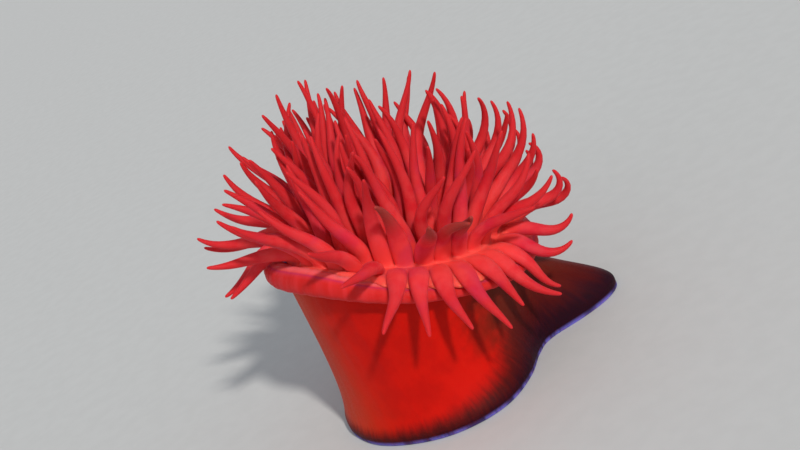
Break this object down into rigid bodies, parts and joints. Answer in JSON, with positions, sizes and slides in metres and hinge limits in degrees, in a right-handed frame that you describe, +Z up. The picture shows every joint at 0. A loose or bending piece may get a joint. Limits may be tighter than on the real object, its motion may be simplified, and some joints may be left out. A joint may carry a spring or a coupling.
{
  "type": "beadlet anemone, still life-size model",
  "caption": "Sea anemone standing on a broad foot, with a flared column, a thick rolled collar and an open crown of tapering tentacles round an oral disc.",
  "frame": {"origin": "middle of the foot's flat underside, on the surface it stands on", "axes": "+Z up; the crown leans towards +X, where the foot's skirt is widest; -Y is the front, on which the tentacles droop over the collar"},
  "size_m": [0.0525, 0.0516, 0.0488],
  "materials": {
    "foot": "wet satin flesh, dark maroon with a violet rim",
    "column": "wet satin flesh, red-orange, darker towards the foot",
    "collar": "wet satin flesh, red with paler folds",
    "tentacle": "soft satin flesh, red, slightly see-through at the tips",
    "oral_disc": "soft satin flesh, deep crimson",
    "bead": "smooth pale blue-violet flesh"
  },
  "bodies": {
    "root": {"foot": "foot", "skirt": "column", "column": "column", "collar_1": "collar", "collar_2": "collar", "collar_3": "collar", "collar_4": "collar", "collar_5": "collar", "collar_6": "collar", "oral_disc": "oral_disc", "mouth": "oral_disc", "tentacles_inner_1": "tentacle", "tentacles_inner_2": "tentacle", "tentacles_inner_3": "tentacle", "tentacles_inner_4": "tentacle", "tentacles_inner_5": "tentacle", "tentacles_second_1": "tentacle", "tentacles_second_2": "tentacle", "tentacles_second_3": "tentacle", "tentacles_second_4": "tentacle", "tentacles_second_5": "tentacle", "tentacles_second_6": "tentacle", "tentacles_third_1": "tentacle", "tentacles_third_2": "tentacle", "tentacles_third_3": "tentacle", "tentacles_third_4": "tentacle", "tentacles_third_5": "tentacle", "tentacles_third_6": "tentacle", "tentacles_third_7": "tentacle", "tentacles_fourth_1": "tentacle", "tentacles_fourth_2": "tentacle", "tentacles_fourth_3": "tentacle", "tentacles_fourth_4": "tentacle", "tentacles_fourth_5": "tentacle", "tentacles_fourth_6": "tentacle", "tentacles_fourth_7": "tentacle", "tentacles_fourth_8": "tentacle", "tentacles_outer_1": "tentacle", "tentacles_outer_2": "tentacle", "tentacles_outer_3": "tentacle", "tentacles_outer_4": "tentacle", "tentacles_outer_5": "tentacle", "tentacles_outer_6": "tentacle", "tentacles_outer_7": "tentacle", "tentacles_outer_8": "tentacle", "tentacles_outer_9": "tentacle", "tentacles_outer_10": "tentacle", "tentacles_outer_11": "tentacle", "tentacles_outer_12": "tentacle"}
  },
  "joints": []
}
